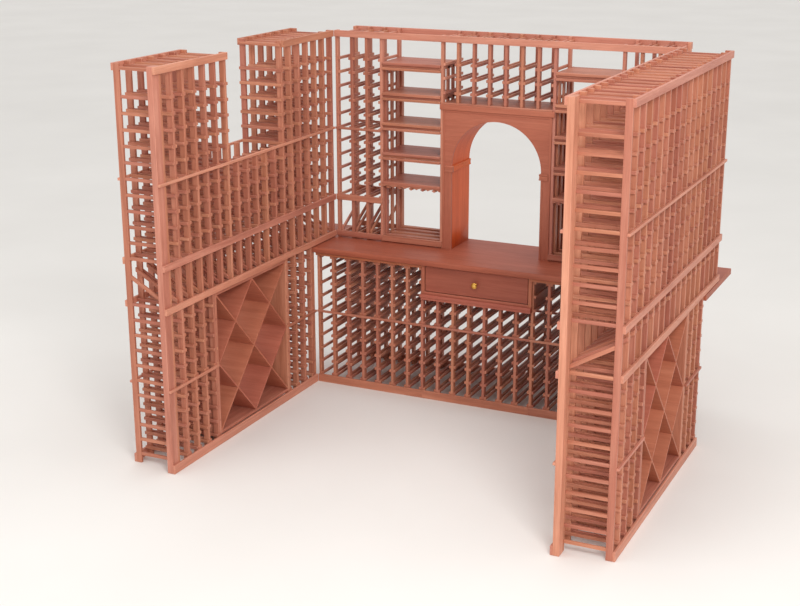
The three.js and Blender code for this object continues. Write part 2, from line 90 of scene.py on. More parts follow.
TOP_BOARD = (HEIGHT - 43, HEIGHT)
MID_BOARD = (1760, 1776)
SHOW_TOP_BOARD = (1259, 1300)
SHOW_LOW_BOARD = (997, 1036)
LOW_MID_BOARD = (516, 531)
BASE_BOARD = (0, 55)
TOP_RAIL = (HEIGHT - 38, HEIGHT - 19)
SHOW_LOW_RAIL = (1005, 1024)
TOP_ROW = 2258
LOW_ROW = 927
UPPER_ROWS = [(TOP_ROW - k * ROW - RAIL_H, TOP_ROW - k * ROW) for k in range(11)]
LOWER_ROWS = [(LOW_ROW - k * ROW - RAIL_H, LOW_ROW - k * ROW) for k in range(10)]
SHOW_FRONT = 1060
SHOW_BACK = 1193
SHOW_RAIL_DROP = 25  # height of the sloping display rail
COUNTER_TOP = 988
COUNTER_T = 38
COUNTER_FRONT = 1782
CUT = (6, 12)
BIN = (4, 12)
BIN_WALL = 19
BIN_BASE = 57
BIN_TOP = 990
DIVIDER_T = 10
BAYS = (0, 3, 7, 14, 18, 21)
SHELF_TOPS = (2241, 2035.5, 1830, 1624.5, 1419)
SHELF_T = 19
STEM_RAILS = 5
BATTEN_T = 11.5
BAY_FLOOR = (1017, 1036)
BATTENS = (50, 134, 218, 300)
PANEL_TOP = 1985
PANEL_T = 14
CORNICE = (1949, PANEL_TOP)
OVER_ARCH = PANEL_TOP + 10
IMPOST = (1528, 1569)
IMPOST_OUT = 12
BEAD = 14
LINER_T = 10
ARCH_R = 319
ARCH_SPRING = 1571
DRAWER_W = 734
DRAWER_Z = (771, 946)
DRAWER_FACE = (3, 14)
DRAWER_DEEP = 450
DRAWER_PLAY = 3
BOX_T = 12
BOX_INSET = 10  # at each side, behind the front
CASE_T = 14
CASE_X = 393
LEDGE = (713, 751)
FRIEZE = 20
POSTS = (BOARD_T, DEPTH - BOARD_T - POST_D)
BASE_POSTS = (BOARD_T, BASE_DEPTH - BOARD_T - POST_D)
UNDER_COUNTER = COUNTER_TOP - COUNTER_T - GAP

# A run has a direction along it (s) and a depth into it (d) from its front face.
PLACE = {
    "left": lambda s, d: (-d, s),
    "right": lambda s, d: (AISLE + d, s),
    "upper": lambda s, d: (s, UPPER_FRONT + d),
    "base": lambda s, d: (s, BASE_FRONT + d),
}


def world(run, s, d, z):
    x, y = PLACE[run](s, d)
    return np.array([x - CENTRE_X, y - CENTRE_Y, z]) / 1000


def axis_of(run, letter):
    if letter == "z":
        return 2
    return {"s": 1, "d": 0}[letter] if run in ("left", "right") else {"s": 0, "d": 1}[letter]


# ---- a box with eased edges: three vertices to a corner ----
def eased_box():
    corners = list(product((-1, 1), repeat=3))
    at = {(c, a): 3 * i + a for i, c in enumerate(corners) for a in range(3)}
    signs = np.array([c for c in corners for _ in range(3)], float)
    own = np.array([np.eye(3)[a] for _ in corners for a in range(3)])
    flats, edges, tips = [], [], []
    for a in range(3):
        b, c = (a + 1) % 3, (a + 2) % 3
        for side in (-1, 1):
            ring = []
            for p, q in ((-1, -1), (1, -1), (1, 1), (-1, 1)):
                corner = [0, 0, 0]
                corner[a], corner[b], corner[c] = side, p, q
                ring.append(at[tuple(corner), a])
            flats.append(ring)
            for other in (-1, 1):
                low, high = [0, 0, 0], [0, 0, 0]
                low[a] = high[a] = side
                low[b] = high[b] = other
                low[c], high[c] = -1, 1
                low, high = tuple(low), tuple(high)
                edges.append([at[low, a], at[low, b], at[high, b], at[high, a]])
    for corner in corners:
        tips.append([at[corner, a] for a in range(3)])
    points = signs * (0.9 + 0.1 * own)
    faces = []
    for face in flats + edges + tips:
        p = points[face]
        outward = np.dot(np.cross(p[1] - p[0], p[2] - p[0]), p.mean(0)) > 0
        faces.append(face if outward else face[::-1])
    return signs, own, faces, [0.0] * len(flats) + [1.0] * (len(edges) + len(tips))


SIGNS, OWN, BOX_FACES, BOX_WORN = eased_box()


def inset(points, amount):
    """The closed outline, counterclockwise, moved inwards."""
    p = np.array(points, float)
    before = p - np.roll(p, 1, 0)
    after = np.roll(p, -1, 0) - p
    before /= np.linalg.norm(before, axis=1)[:, None]
    after /= np.linalg.norm(after, axis=1)[:, None]
    n1 = np.stack([-before[:, 1], before[:, 0]], 1)
    n2 = np.stack([-after[:, 1], after[:, 0]], 1)
    share = np.maximum(1 + (n1 * n2).sum(1), 0.3)[:, None]
    return p + (n1 + n2) / share * amount


class Joinery:
    """Boards of one piece, each with its own grain direction, grain offset and tone."""

    def __init__(self):
        self.points, self.faces = [], []
        self.grain, self.tone, self.worn = [], [], []
        self.count = 0

    def add(self, points, faces, grain, worn, tone=None):
        tone = rng.random() if tone is None else tone
        shift = np.array([rng.uniform(0, 30) for _ in range(3)])
        self.points.append(points)
        self.faces += [[i + self.count for i in f] for f in faces]
        self.grain.append(grain + shift)
        self.tone.append(np.full(len(points), tone))
        self.worn += worn
        self.count += len(points)

    def block(self, centre, half, grain_axis, ease=0.0015, turn=None, tone=None):
        ease = min(ease, 0.4 * min(half))
        local = SIGNS * (np.array(half) - ease) + OWN * SIGNS * ease
        order = [grain_axis, (grain_axis + 1) % 3, (grain_axis + 2) % 3]
        points = local if turn is None else local @ np.array(turn).T
        self.add(points + centre, BOX_FACES, local[:, order], BOX_WORN, tone)

    def board(self, run, s, d, z, grain="s", ease=0.0015, tone=None):
        a, b = world(run, s[0], d[0], z[0]), world(run, s[1], d[1], z[1])
        self.block((a + b) / 2, abs(b - a) / 2, axis_of(run, grain), ease, None, tone)

    def prism(self, run, plane, outline, span, grain=(1, 0), ease=1.5, tone=None):
        """Extrudes an outline in the plane named by two of s, d and z.

        The grain is a direction in that plane, or None for along the extrusion.
        """
        area = sum(a[0] * b[1] - b[0] * a[1] for a, b in zip(outline, outline[1:] + outline[:1]))
        outline = outline if area > 0 else outline[::-1]
        along = ({"s", "d", "z"} - set(plane)).pop()
        small = inset(outline, ease)
        low, high = span
        rings = [(small, low), (outline, low + ease), (outline, high - ease), (small, high)]
        points, grains = [], []
        for ring, t in rings:
            for p in ring:
                at = {plane[0]: p[0], plane[1]: p[1], along: t}
                points.append(world(run, at["s"], at["d"], at["z"]))
                if grain is None:
                    grains.append((t, p[0], p[1]))
                else:
                    u, v = grain
                    grains.append((p[0] * u + p[1] * v, p[1] * u - p[0] * v, t))
        n = len(outline)
        faces = [list(range(n))[::-1], [3 * n + i for i in range(n)]]
        worn = [0.0, 0.0]
        for layer in range(3):
            for i in range(n):
                j = (i + 1) % n
                a, b = layer * n, (layer + 1) * n
                faces.append([a + i, a + j, b + j, b + i])
                worn.append(0.0 if layer == 1 else 1.0)
        points = np.array(points)
        p, q, r = points[faces[1][0]], points[faces[1][1]], points[faces[0][-1]]
        probe = Vector(np.cross(q - p, points[faces[1][2]] - q)).dot(Vector(p - r))
        turns = self.turning(outline)
        if probe * turns < 0:
            faces = [f[::-1] for f in faces]
        self.add(points, faces, np.array(grains) / 1000, worn, tone)

    @staticmethod
    def turning(outline):
        a, b, c = outline[0], outline[1], outline[2]
        return 1 if (b[0] - a[0]) * (c[1] - b[1]) - (b[1] - a[1]) * (c[0] - b[0]) > 0 else -1

    def surface(self, grid, grain, closed=False, tone=None):
        """A grid of points, rows by columns, as one smooth skin. grain has the same shape."""
        rows, cols = grid.shape[:2]
        faces = []
        for i in range(rows - 1):
            for j in range(cols if closed else cols - 1):
                k = (j + 1) % cols
                faces.append([i * cols + j, i * cols + k, (i + 1) * cols + k, (i + 1) * cols + j])
        self.add(grid.reshape(-1, 3), faces, grain.reshape(-1, 3), [0.0] * len(faces), tone)

    def build(self, name, body, material, slot, *nodes):
        mesh = bpy.data.meshes.new(name)
        mesh.from_pydata(np.concatenate(self.points).tolist(), [], self.faces)
        grain = mesh.attributes.new("grain", "FLOAT_VECTOR", "POINT")
        grain.data.foreach_set("vector", np.concatenate(self.grain).astype(np.float32).ravel())
        tone = mesh.attributes.new("tone", "FLOAT", "POINT")
        tone.data.foreach_set("value", np.concatenate(self.tone).astype(np.float32))
        worn = mesh.attributes.new("worn", "FLOAT", "FACE")
        worn.data.foreach_set("value", np.array(self.worn, np.float32))
        mesh.shade_smooth()
        mesh.set_sharp_from_angle(angle=math.radians(30))
        mesh.materials.append(material)
        piece = bpy.data.objects.new(name, mesh)
        bpy.context.scene.collection.objects.link(piece)
        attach(piece, body)
        if nodes:
            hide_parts(*nodes)
        return piece


# ---- materials ----
def srgb(r, g, b):
    def linear(v):
        v /= 255
        return v / 12.92 if v <= 0.04045 else ((v + 0.055) / 1.055) ** 2.4
    return (linear(r), linear(g), linear(b), 1)


class Shader:
    """A short way to add and wire nodes."""

    def __init__(self, name):
        self.material = bpy.data.materials.new(name)
        self.material.use_nodes = True
        self.tree = self.material.node_tree
        self.surface = self.tree.nodes["Principled BSDF"]

    def node(self, kind, inputs=(), **settings):
        made = self.tree.nodes.new("ShaderNode" + kind)
        for key, value in settings.items():
            setattr(made, key, value)
        for key, value in dict(inputs).items():
            self.feed(made, key, value)
        return made

    def feed(self, node, key, value):
        if isinstance(value, bpy.types.NodeSocket):
            self.tree.links.new(value, node.inputs[key])
        else:
            node.inputs[key].default_value = value

    def ramp(self, fac, stops):
        made = self.node("ValToRGB", {"Fac": fac})
        items = made.color_ramp.elements
        while len(items) < len(stops):
            items.new(0.5)
        for item, (place, colour) in zip(items, stops):
            item.position = place
            item.color = colour
        return made.outputs["Color"]

    def remap(self, value, low, high, source=(0, 1)):
        return self.node("MapRange", {
            "Value": value, "From Min": source[0], "From Max": source[1],
            "To Min": low, "To Max": high,
        }).outputs["Result"]

    def mix(self, kind, fac, a, b):
        made = self.node("Mix", data_type="RGBA", blend_type=kind)
        self.feed(made, 0, fac)
        self.feed(made, 6, a)
        self.feed(made, 7, b)
        return made.outputs[2]

    def noise(self, vector, scale, detail=4, rough=0.55, distortion=0.0):
        moved = self.node("Mapping", {"Vector": vector, "Scale": scale}).outputs["Vector"]
        return self.node("TexNoise", {
            "Vector": moved, "Scale": 1.0, "Detail": detail, "Roughness": rough,
            "Distortion": distortion,
        }).outputs["Fac"]


def wood(name, dark, mid, light, rough=(0.42, 0.6), bump=0.22, coat=0.0, spread=0.11, figure=1.0):
    sh = Shader(name)
    grain = sh.node("Attribute", attribute_name="grain").outputs["Vector"]
    tone = sh.node("Attribute", attribute_name="tone").outputs["Fac"]
    worn = sh.node("Attribute", attribute_name="worn").outputs["Fac"]
    bands = sh.noise(grain, (1.3, 24, 24), 5, 0.6, 0.7)
    fibre = sh.noise(grain, (14, 420, 420), 3, 0.6)
    patch = sh.noise(grain, (2.5, 7, 7), 2, 0.5)
    colour = sh.ramp(bands, [(0.5 - 0.22 * figure, dark), (0.5, mid), (0.5 + 0.24 * figure, light)])
    fine = sh.ramp(fibre, [(0.3, (0.82, 0.8, 0.78, 1)), (0.62, (1.04, 1.03, 1.02, 1))])
    colour = sh.mix("MULTIPLY", 0.7, colour, fine)
    value = sh.remap(tone, 1 - spread, 1 + spread)
    soft = sh.remap(patch, 0.93, 1.07, (0.3, 0.7))
    both = sh.node("Math", {0: value, 1: soft}, operation="MULTIPLY").outputs[0]
    hue = sh.remap(tone, 0.494, 0.506)
    colour = sh.node("HueSaturation", {"Hue": hue, "Value": both, "Color": colour}).outputs["Color"]
    rub = sh.noise(grain, (6, 60, 60), 3, 0.6)
    rubbed = sh.remap(rub, 0.0, 0.75, (0.4, 0.65))
    edge = sh.node("Math", {0: worn, 1: rubbed}, operation="MULTIPLY").outputs[0]
    colour = sh.mix("MIX", edge, colour, light)
    sh.feed(sh.surface, "Base Color", colour)
    sh.feed(sh.surface, "Roughness", sh.remap(fibre, rough[1], rough[0], (0.3, 0.7)))
    sh.surface.inputs["Specular IOR Level"].default_value = 0.3
    sh.surface.inputs["Coat Weight"].default_value = coat
    sh.surface.inputs["Coat Roughness"].default_value = 0.25
    height = sh.mix("MIX", 0.35, fibre, bands)
    relief = sh.node("Bump", {"Strength": bump, "Distance": 0.0012, "Height": height})
    sh.feed(sh.surface, "Normal", relief.outputs["Normal"])
    return sh.material


def brass():
    sh = Shader("brass")
    where = sh.node("TexCoord").outputs["Object"]
    spots = sh.noise(where, (90, 90, 90), 4, 0.6)
    fine = sh.noise(where, (900, 900, 900), 2, 0.5)
    sh.feed(sh.surface, "Base Color", sh.ramp(spots, [
        (0.35, srgb(196, 138, 58)), (0.6, srgb(232, 184, 96)), (0.75, srgb(244, 206, 128)),
    ]))
    sh.surface.inputs["Metallic"].default_value = 1.0
    sh.feed(sh.surface, "Roughness", sh.remap(spots, 0.16, 0.34, (0.3, 0.7)))
    relief = sh.node("Bump", {"Strength": 0.05, "Distance": 0.0005, "Height": fine})
    sh.feed(sh.surface, "Normal", relief.outputs["Normal"])
    return sh.material


PLANED = {"rough": (0.42, 0.56), "bump": 0.14, "spread": 0.04, "figure": 1.8}

RACK = wood("rack_wood", srgb(156, 90, 69), srgb(185, 117, 93), srgb(206, 142, 117), figure=1.3)
BOARD = wood("board_wood", srgb(174, 106, 84), srgb(200, 132, 109), srgb(220, 156, 132), figure=1.3)
PANEL = wood("panel_wood", srgb(158, 87, 66), srgb(178, 103, 80), srgb(196, 122, 97), **PLANED)
# Drawer front wood: the panel wood made darker, as painted shade for a drawer front that is lit less
# than the panels.
FRONT_PAINTED_SHADE = wood("drawer_wood_painted_shade", srgb(140, 73, 55), srgb(160, 87, 67), srgb(178, 105, 83), **PLANED)
TOP = wood(
    "counter_wood", srgb(152, 82, 56), srgb(169, 95, 67), srgb(186, 112, 83),
    rough=(0.46, 0.58), bump=0.1, coat=0.05, spread=0.03, figure=1.8,
)
# Jamb wood: a strong orange, the wood's own colour with the warm light of a lamp in the niche painted
# into it.
LINER_PAINTED_LIGHT = wood(
    "liner_wood_painted_light", srgb(194, 88, 38), srgb(212, 101, 46), srgb(224, 119, 62),
    rough=(0.46, 0.6), bump=0.1, spread=0.03, figure=2.0,
)
BRASS = brass()


# ---- ladders ----
def posts_at(piece, run, s, bottom, top, posts=POSTS):
    for d in posts:
        piece.board(run, (s, s + POST_W), (d, d + POST_D), (bottom, top), "z", 0.0018)


def rail_pair(piece, run, s, row, sides, reach=None):
    d = reach or (BOARD_T, DEPTH - BOARD_T)
    if -1 in sides:
        piece.board(run, (s - RAIL_T, s), d, row, "d")
    if 1 in sides:
        piece.board(run, (s + POST_W, s + POST_W + RAIL_T), d, row, "d")
    if 0 in sides:
        piece.board(run, (s + 2, s + POST_W - 2), (POSTS[0] + POST_D, POSTS[1]), row, "d")


def sloping_pair(piece, run, s, sides):
    slope = (SHOW_BACK - SHOW_FRONT) / (POSTS[1] - POSTS[0] - POST_D)
    top = lambda d: SHOW_FRONT + (d - POSTS[0] - POST_D) * slope
    d0, d1 = 37, DEPTH - BOARD_T - 1
    n = math.hypot(1, slope)
    spans = {-1: (s - RAIL_T, s), 1: (s + POST_W, s + POST_W + RAIL_T), 0: (s + 2, s + POST_W - 2)}
    for side in (-1, 1, 0):
        if side not in sides:
            continue
        a, b = (d0, d1) if side else (POSTS[0] + POST_D, POSTS[1])
        low = [(d, top(d) - SHOW_RAIL_DROP) for d in (a, b)]
        high = [(d, top(d)) for d in (b, a)]
        piece.prism(run, "dz", low + high, spans[side], (1 / n, slope / n))


def ladder(piece, run, s, bottom, top, sides=(-1, 1), lower=True, upper=UPPER_ROWS):
    posts_at(piece, run, s, bottom, top)
    rows = [r for r in upper if r[1] < top]
    if lower:
        rows += LOWER_ROWS
    if top == HEIGHT:
        rows.append(TOP_RAIL)
    rows.append(SHOW_LOW_RAIL)
    for row in rows:
        rail_pair(piece, run, s, row, sides)
    sloping_pair(piece, run, s, sides)


# ---- side runs ----
def side_run(side):
    pitch, near, cut = PITCH[side], NEAR[side], side == "left"
    at = lambda k: near + STILE_W + k * pitch
    for k in range(1, SIDE_COLUMNS + 1):
        in_bin = BIN[0] < k < BIN[1]
        short = cut and CUT[0] < k < CUT[1]
        bottom = BIN_TOP + GAP if in_bin else COUNTER_TOP + GAP if k > LOWER_COLUMNS else 0
        piece = Joinery()
        sides = (-1,) if k == SIDE_COLUMNS else (-1, 1)
        top = MID_BOARD[1] if short else HEIGHT
        ladder(piece, side, at(k), bottom, top, sides, lower=bottom == 0)
        if k == LOWER_COLUMNS:
            corner_parts(piece, side, at(BIN[1]), at(k) + POST_W)
        if k == SIDE_COLUMNS and cut:
            for d in ((0, BOARD_T), (DEPTH - BOARD_T, DEPTH)):
                piece.board(side, (at(CUT[1]), at(k) + POST_W), d, TOP_BOARD)
        name = f"{side}_ladder_{k:02d}"
        piece.build(f"{side}_rack_{k:02d}", "racking", RACK, "wood_rack", name)
    side_frame(side, at, near, cut)
    side_bin(side, at(BIN[0]) + POST_W + GAP, at(BIN[1]) - GAP)


def corner_parts(piece, side, start, end):
    """Beyond the bin: the short boards, and the strip that fills the inner corner."""
    piece.board(side, (start, CORNER), (0, BOARD_T), LOW_MID_BOARD)
    piece.board(side, (start, end), (DEPTH - BOARD_T, DEPTH), LOW_MID_BOARD)
    strip = (BOARD_T + 1, BOARD_T + POST_D - 1)
    piece.board(side, (end, CORNER), strip, (0, UNDER_COUNTER), "z", 0.0018)


def side_frame(side, at, near, cut):
    ends = Joinery()
    ladder(ends, side, at(0), 0, HEIGHT, (0,))
    ends.build(f"{side}_end_ladder", "racking", RACK, "wood_rack", f"{side}_frame")
    boards = Joinery()
    end = at(SIDE_COLUMNS) + POST_W
    low_end = at(LOWER_COLUMNS) + POST_W
    front, rear = (0, BOARD_T), (DEPTH - BOARD_T, DEPTH)
    boards.board(side, (near, at(0)), (BOARD_T, BOARD_T + POST_D), (0, HEIGHT), "z", 0.002)
    for level in (MID_BOARD, SHOW_TOP_BOARD, SHOW_LOW_BOARD):
        boards.board(side, (near, end), front, level)
        boards.board(side, (at(0), end), rear, level)
    top_end = at(CUT[0]) + POST_W if cut else end
    boards.board(side, (near, top_end), front, TOP_BOARD)
    boards.board(side, (at(0), top_end), rear, TOP_BOARD)
    boards.board(side, (near, CORNER), front, BASE_BOARD, ease=0.0022)
    boards.board(side, (at(0), low_end), rear, BASE_BOARD, ease=0.0022)
    boards.board(side, (near, at(BIN[0]) + POST_W), front, LOW_MID_BOARD)
    boards.board(side, (at(0), at(BIN[0]) + POST_W), rear, LOW_MID_BOARD)
    boards.build(f"{side}_boards", "racking", BOARD, "wood_boards", f"{side}_frame")


def side_bin(side, s0, s1):
    d = (BOARD_T + GAP, DEPTH - BOARD_T - GAP)
    box = Joinery()
    box.board(side, (s0, s0 + BIN_WALL), d, (BIN_BASE, BIN_TOP), "z")
    box.board(side, (s1 - BIN_WALL, s1), d, (BIN_BASE, BIN_TOP), "z")
    box.board(side, (s0 + BIN_WALL, s1 - BIN_WALL), d, (BIN_BASE, BIN_BASE + BIN_WALL), "s")
    box.board(side, (s0 + BIN_WALL, s1 - BIN_WALL), d, (BIN_TOP - BIN_WALL, BIN_TOP), "s")
    box.build(f"{side}_bin_box", "racking", RACK, "wood_rack", f"{side}_bin_frame")
    a0, a1 = s0 + BIN_WALL + GAP, s1 - BIN_WALL - GAP
    b0, b1 = BIN_BASE + BIN_WALL + GAP, BIN_TOP - BIN_WALL - GAP
    am, bm = (a0 + a1) / 2, (b0 + b1) / 2
    lines = [
        ((a0, b0), (a1, b1)), ((a0, b1), (a1, b0)), ((a0, bm), (am, b1)),
        ((am, b1), (a1, bm)), ((a1, bm), (am, b0)), ((am, b0), (a0, bm)),
    ]
    web = Joinery()
    room = (a0, a1, b0, b1)
    for i, (p, q) in enumerate(lines):
        inner = 0.15 * (i % 2)
        shape = divider(p, q, DIVIDER_T - inner, room)
        web.prism(side, "sz", shape, (d[0] + inner, d[1] - inner), None, 1.0)
    web.build(f"{side}_bin_web", "racking", PANEL, "wood_panel", f"{side}_bin_dividers")


def divider(p, q, thick, room):
    """A strip from p to q, cut to the inside of the bin."""
    p, q = np.array(p, float), np.array(q, float)
    u = (q - p) / np.linalg.norm(q - p)
    n = np.array([-u[1], u[0]]) * thick / 2
    start, end = p - u * 40, q + u * 40
    shape = [tuple(start - n), tuple(end - n), tuple(end + n), tuple(start + n)]
    for axis, limit, keep in ((0, room[0], 1), (0, room[1], -1), (1, room[2], 1), (1, room[3], -1)):
        cut = []
        for a, b in zip(shape, shape[1:] + shape[:1]):
            fa, fb = (a[axis] - limit) * keep, (b[axis] - limit) * keep
            if fa >= 0:
                cut.append(a)
            if fa * fb < 0:
                t = fa / (fa - fb)
                cut.append((a[0] + (b[0] - a[0]) * t, a[1] + (b[1] - a[1]) * t))
        shape = cut
    return shape


# ---- back run, base ----
def base_rack(name, node, first, last, s0, s1, top):
    piece = Joinery()
    rows = [r for r in LOWER_ROWS if r[1] < top - 12]
    reach = (BOARD_T, BASE_DEPTH - BOARD_T)
    for k in range(first, last + 1):
        s = k * PITCH["base"]
        posts_at(piece, "base", s, 0, top, BASE_POSTS)
        sides = (1,) if k == 0 else (-1,) if k == BACK_COLUMNS else (-1, 1)
        for row in rows:
            rail_pair(piece, "base", s, row, sides, reach)
    for level in (BASE_BOARD, LOW_MID_BOARD):
        piece.board("base", (s0, s1), (0, BOARD_T), level)
        piece.board("base", (s0, s1), (BASE_DEPTH - BOARD_T, BASE_DEPTH), level)
    piece.build(name, "racking", RACK, "wood_rack", node)


def base():
    edge = BAYS[2] * PITCH["base"] + POST_W
    far = AISLE - edge
    first, last = BAYS[2] + 1, BAYS[3] - 1
    base_rack("base_left", "base_rack_left", 0, BAYS[2], 0, edge, UNDER_COUNTER)
    base_rack("base_middle", "base_rack_middle", first, last, edge + GAP, far - GAP, LEDGE[0] - GAP)
    base_rack("base_right", "base_rack_right", BAYS[3], BACK_COLUMNS, far, AISLE, UNDER_COUNTER)


def turned(x, z, rx, rz, start, count):
    """Points of an elliptic arc, from an angle off the vertical round to the side."""
    return [(x + rx * math.sin(a), z + rz * math.cos(a)) for a in np.linspace(start, math.pi / 2, count)]


def counter():
    x0, x1 = -DEPTH, AISLE + DEPTH
    back = UPPER_FRONT + DEPTH - BASE_FRONT
    front = COUNTER_FRONT - BASE_FRONT
    low, r = COUNTER_TOP - COUNTER_T, 15
    nose = turned(front + r, COUNTER_TOP - r, -r, r, 0, 9)
    quarter = np.linspace(0, math.pi / 2, 6)
    under = [(front + 9 - 9 * math.cos(a), low + 9 - 9 * math.sin(a)) for a in quarter]
    shape = [(back, low), (back, COUNTER_TOP)] + nose + under
    slab = Joinery()
    slab.prism("base", "dz", shape, (x0, x1), None, 2.0)
    cove = [(BOARD_T - 1, low - FRIEZE), (BOARD_T - 1, low), (-16, low)]
    cove += turned(-16, low - 10, 10, 8, 0.2, 6)
    cove += [(-6, low - FRIEZE)]
    side = AISLE / 2 - CASE_X - GAP
    for span in ((0.5, side), (AISLE - side, AISLE - 0.5)):
        slab.prism("base", "dz", cove, span, None, 0.6)
    slab.build("counter_top", "racking", TOP, "wood_counter", "counter")


# ---- drawer ----
def drawer_case():
    mid = AISLE / 2
    half = DRAWER_W / 2 + DRAWER_PLAY
    face = Joinery()
    d = (0, BOARD_T - 1)
    for sign in (-1, 1):
        a, b = sorted((mid + sign * CASE_X, mid + sign * half))
        face.board("base", (a, b), d, (LEDGE[1], UNDER_COUNTER), "z")
    sill = (LEDGE[1], DRAWER_Z[0] - DRAWER_PLAY)
    face.board("base", (mid - half, mid + half), d, sill, "s")
    lip = [(BOARD_T - 1, LEDGE[0]), (BOARD_T - 1, LEDGE[1]), (-10, LEDGE[1])]
    lip += turned(-10, LEDGE[1] - 8, -8, 8, 0.3, 5)
    lip += [(-18, LEDGE[0] + 20), (-13, LEDGE[0] + 15), (-13, LEDGE[0])]
    face.prism("base", "dz", lip, (mid - CASE_X, mid + CASE_X), None, 1.2)
    face.build("drawer_face", "racking", PANEL, "wood_panel", "drawer_face_frame")
    inner = BAYS[2] * PITCH["base"] + POST_W + GAP
    right = AISLE - inner
    deep = (BOARD_T, DRAWER_DEEP + 40)
    tall = (LEDGE[0], UNDER_COUNTER)
    case = Joinery()
    for s in ((inner, inner + CASE_T), (right - CASE_T, right)):
        case.board("base", s, deep, tall, "d")
    case.board("base", (inner + CASE_T, right - CASE_T), deep, (LEDGE[0], LEDGE[0] + 12), "s")
    case.build("case_boards", "racking", PANEL, "wood_panel", "drawer_case")


def drawer():
    mid, half = AISLE / 2, DRAWER_W / 2
    side = half - BOX_INSET
    low, high = DRAWER_Z[0] + 6, DRAWER_Z[1] - 16
    front = Joinery()
    face = (mid - half + 1, mid + half - 1)
    # The drawer front board takes the darker drawer wood, which is painted shade.
    front.board("base", face, DRAWER_FACE, (DRAWER_Z[0] + 1, DRAWER_Z[1] - 1), "s", 0.0026, 0.4)
    front.build("drawer_face_board", "drawer", FRONT_PAINTED_SHADE, "wood_panel", "drawer_front")
    d0, back = DRAWER_FACE[1] + GAP, DRAWER_FACE[1] + DRAWER_DEEP
    box = Joinery()
    for s in ((mid - side, mid - side + BOX_T), (mid + side - BOX_T, mid + side)):
        box.board("base", s, (d0, back), (low, high), "d")
    inner = side - BOX_T
    box.board("base", (mid - inner, mid + inner), (back - BOX_T, back), (low, high - 4), "s")
    box.build("drawer_sides", "drawer", RACK, "wood_rack", "drawer_box")
    floor = Joinery()
    under = (d0, back - BOX_T - GAP)
    floor.board("base", (mid - inner, mid + inner), under, (low + 4, low + 10), "s")
    floor.build("drawer_floor", "drawer", RACK, "wood_rack", "drawer_bottom")
    knob(mid)


def knob(x):
    """A turned knob: base plate, neck, collar and button, as radius and height."""
    plate = [(0, 0.6), (10.6, 0.6), (11, 1), (11, 2.6), (10, 3.6)]
    neck = [(7.6, 5), (6.2, 8), (5.8, 12), (6.4, 15)]
    collar = [(9, 17.4), (10.4, 18.4), (10.8, 19.4), (12, 20.2)]
    button = [(17, 22.2), (20, 25), (21, 28), (20.6, 31), (18, 34), (14, 36.2), (8, 37.4)]
    profile = plate + neck + collar + button + [(3, 37.8), (0, 37.8)]
    turns = 48
    height = sum(DRAWER_Z) / 2
    rings = []
    for r, h in profile:
        ring = [world("base", x + r * math.cos(a), -h, height + r * math.sin(a))
                for a in np.linspace(0, 2 * math.pi, turns, endpoint=False)]
        rings.append(ring)
    grid = np.array(rings)
    piece = Joinery()
    piece.surface(grid, grid.copy(), closed=True)
    made = piece.build("knob", "drawer", BRASS, "brass", "drawer_knob")
    clean_normals(made)


def clean_normals(piece):
    bm = bmesh.new()
    bm.from_mesh(piece.data)
    bmesh.ops.remove_doubles(bm, verts=bm.verts, dist=1e-6)
    bmesh.ops.recalc_face_normals(bm, faces=bm.faces)
    bm.to_mesh(piece.data)
    bm.free()


# ---- back run, upper part ----
def upper():
    low = COUNTER_TOP + GAP
    over = [r for r in UPPER_ROWS if r[0] > PANEL_TOP]
    back_frame(low, over)
    back_rack("left", BAYS[0], BAYS[1], low)
    back_rack("right", BAYS[4], BAYS[5], low)
    arch_top_rack(over)


def back_frame(low, over):
    run = "upper"
    piece = Joinery()
    sides = {BAYS[0]: (1,), BAYS[1]: (-1,), BAYS[4]: (1,), BAYS[5]: (-1,)}
    for k in BAYS:
        s = k * PITCH[run]
        if k in sides:
            ladder(piece, run, s, low, HEIGHT, sides[k], lower=False)
            continue
        posts_at(piece, run, s, low, HEIGHT)
        inner = (1,) if k == BAYS[2] else (-1,)
        for row in over:
            rail_pair(piece, run, s, row, inner)
        rail_pair(piece, run, s, TOP_RAIL, (-1, 1))
        cheek = (s + 2, s + POST_W - 2)
        piece.board(run, cheek, (POSTS[0] + POST_D, POSTS[1]), (low, PANEL_TOP), "z")
    for d in ((0, BOARD_T), (DEPTH - BOARD_T, DEPTH)):
        piece.board(run, (0, AISLE), d, TOP_BOARD)
    piece.build("back_frame", "racking", BOARD, "wood_boards", "upper_frame")


def back_rack(name, first, last, low):
    run = "upper"
    rack = Joinery()
    for k in range(first + 1, last):
        ladder(rack, run, k * PITCH[run], low, HEIGHT, lower=False)
    span = (first * PITCH[run], last * PITCH[run] + POST_W)
    for level in (MID_BOARD, SHOW_TOP_BOARD, SHOW_LOW_BOARD):
        rack.board(run, span, (0, BOARD_T), level)
        rack.board(run, span, (DEPTH - BOARD_T, DEPTH), level)
    rack.build(f"back_rack_{name}", "racking", RACK, "wood_rack", f"upper_rack_{name}")


def arch_top_rack(over):
    run = "upper"
    rack = Joinery()
    for k in range(BAYS[2] + 1, BAYS[3]):
        s = k * PITCH[run]
        posts_at(rack, run, s, OVER_ARCH, HEIGHT)
        for row in over + [TOP_RAIL]:
            rail_pair(rack, run, s, row, (-1, 1))
    span = (BAYS[2] * PITCH[run] + POST_W + GAP, BAYS[3] * PITCH[run] - GAP)
    rack.board(run, span, (6, DEPTH - 6), (PANEL_TOP + GAP, OVER_ARCH), "s")
    rack.build("arch_top_rack", "racking", RACK, "wood_rack", "over_arch_rack")


